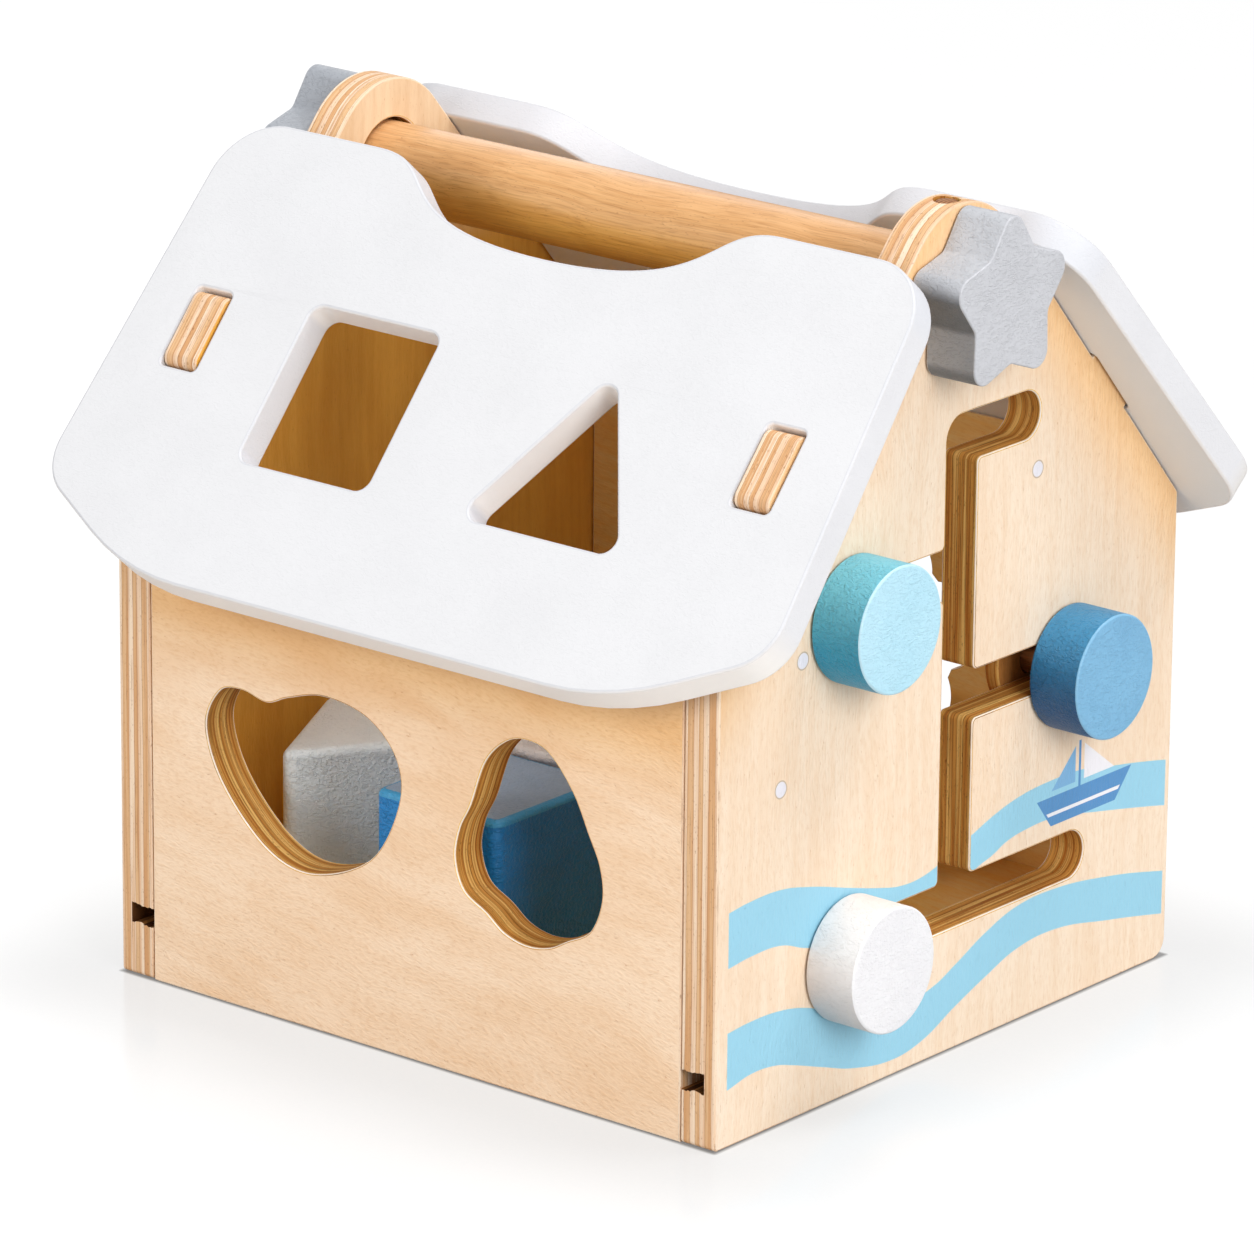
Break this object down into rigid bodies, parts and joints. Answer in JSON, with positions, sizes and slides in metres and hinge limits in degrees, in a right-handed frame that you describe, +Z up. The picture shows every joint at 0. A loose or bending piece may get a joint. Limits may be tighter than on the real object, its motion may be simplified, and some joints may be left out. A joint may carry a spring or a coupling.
{
  "type": "wooden toy house",
  "caption": "Plywood toy house for sorting shapes, with lift-off roof panels, a rod handle with star ends, and knobs that slide in a maze slot.",
  "frame": {"origin": "middle of the base, on the surface that the house stands on", "axes": "+X along the ridge towards the gable with the maze slot, -Y towards the front wall with two shape holes, +Z up"},
  "size_m": [0.2208, 0.2108, 0.207],
  "materials": {
    "birch_plywood": "clear matt lacquer",
    "floor_plywood": "bare",
    "white_paint": "satin paint",
    "grey_paint": "satin paint",
    "light_blue_paint": "satin paint",
    "blue_paint": "satin paint",
    "pale_grey_paint": "satin paint",
    "yellow_paint": "satin paint",
    "varnished_beech": "satin varnish",
    "beech_dowel": "bare"
  },
  "bodies": {
    "house": {"gable_left": "birch_plywood", "gable_right": "birch_plywood", "front_wall": "birch_plywood", "back_wall": "birch_plywood", "floor_panel": "floor_plywood", "handle_rod": "varnished_beech", "handle_pin": "beech_dowel", "star_left": "grey_paint", "star_right": "grey_paint", "dowel_front_left_lower": "beech_dowel", "dowel_front_left_upper": "beech_dowel", "dowel_front_right_lower": "beech_dowel", "dowel_front_right_upper": "beech_dowel", "dowel_back_left_lower": "beech_dowel", "dowel_back_left_upper": "beech_dowel", "dowel_back_right_lower": "beech_dowel", "dowel_back_right_upper": "beech_dowel"},
    "roof_front": {"roof_front": "white_paint"},
    "roof_back": {"roof_back": "white_paint"},
    "slider_light_blue": {"peg_light_blue": "beech_dowel", "disc_light_blue": "birch_plywood"},
    "knob_light_blue": {"knob_light_blue": "light_blue_paint"},
    "slider_blue": {"peg_blue": "beech_dowel", "disc_blue": "birch_plywood"},
    "knob_blue": {"knob_blue": "blue_paint"},
    "slider_white": {"peg_white": "beech_dowel", "disc_white": "birch_plywood"},
    "knob_white": {"knob_white": "white_paint"},
    "block_triangle": {"block_triangle": "pale_grey_paint"},
    "block_oblong": {"block_oblong": "blue_paint"},
    "block_flower": {"block_flower": "yellow_paint"},
    "block_bell": {"block_bell": "light_blue_paint"},
    "block_cloud": {"block_cloud": "white_paint"}
  },
  "joints": [
    {"name": "roof_front_lift", "type": "slide", "parent": "house", "child": "roof_front", "axis": [0, -0.7547, 0.6561], "range_m": [0, 0.03]},
    {"name": "roof_back_lift", "type": "slide", "parent": "house", "child": "roof_back", "axis": [0, 0.7547, 0.6561], "range_m": [0, 0.03]},
    {"name": "light_blue_knob_slide", "type": "slide", "parent": "house", "child": "slider_light_blue", "axis": [0, 1, 0], "range_m": [0, 0.041]},
    {"name": "light_blue_knob_turn", "type": "hinge", "parent": "slider_light_blue", "child": "knob_light_blue", "pos_m": [0.092, -0.0396, 0.1171], "axis": [1, 0, 0], "continuous": true},
    {"name": "blue_knob_slide", "type": "slide", "parent": "house", "child": "slider_blue", "axis": [0, 1, 0], "range_m": [-0.0423, 0]},
    {"name": "blue_knob_turn", "type": "hinge", "parent": "slider_blue", "child": "knob_blue", "pos_m": [0.092, 0.0437, 0.085], "axis": [1, 0, 0], "continuous": true},
    {"name": "white_knob_slide", "type": "slide", "parent": "house", "child": "slider_white", "axis": [0, 1, 0], "range_m": [0, 0.0863]},
    {"name": "white_knob_turn", "type": "hinge", "parent": "slider_white", "child": "knob_white", "pos_m": [0.092, -0.0397, 0.0347], "axis": [1, 0, 0], "continuous": true},
    {"name": "block_triangle_lift", "type": "slide", "parent": "house", "child": "block_triangle", "axis": [0, 0, 1], "range_m": [0, 0.05]},
    {"name": "block_oblong_lift", "type": "slide", "parent": "house", "child": "block_oblong", "axis": [0, 0, 1], "range_m": [0, 0.05]},
    {"name": "block_flower_lift", "type": "slide", "parent": "house", "child": "block_flower", "axis": [0, 0, 1], "range_m": [0, 0.05]},
    {"name": "block_bell_lift", "type": "slide", "parent": "house", "child": "block_bell", "axis": [0, 0, 1], "range_m": [0, 0.05]},
    {"name": "block_cloud_lift", "type": "slide", "parent": "house", "child": "block_cloud", "axis": [0, 0, 1], "range_m": [0, 0.05]}
  ]
}
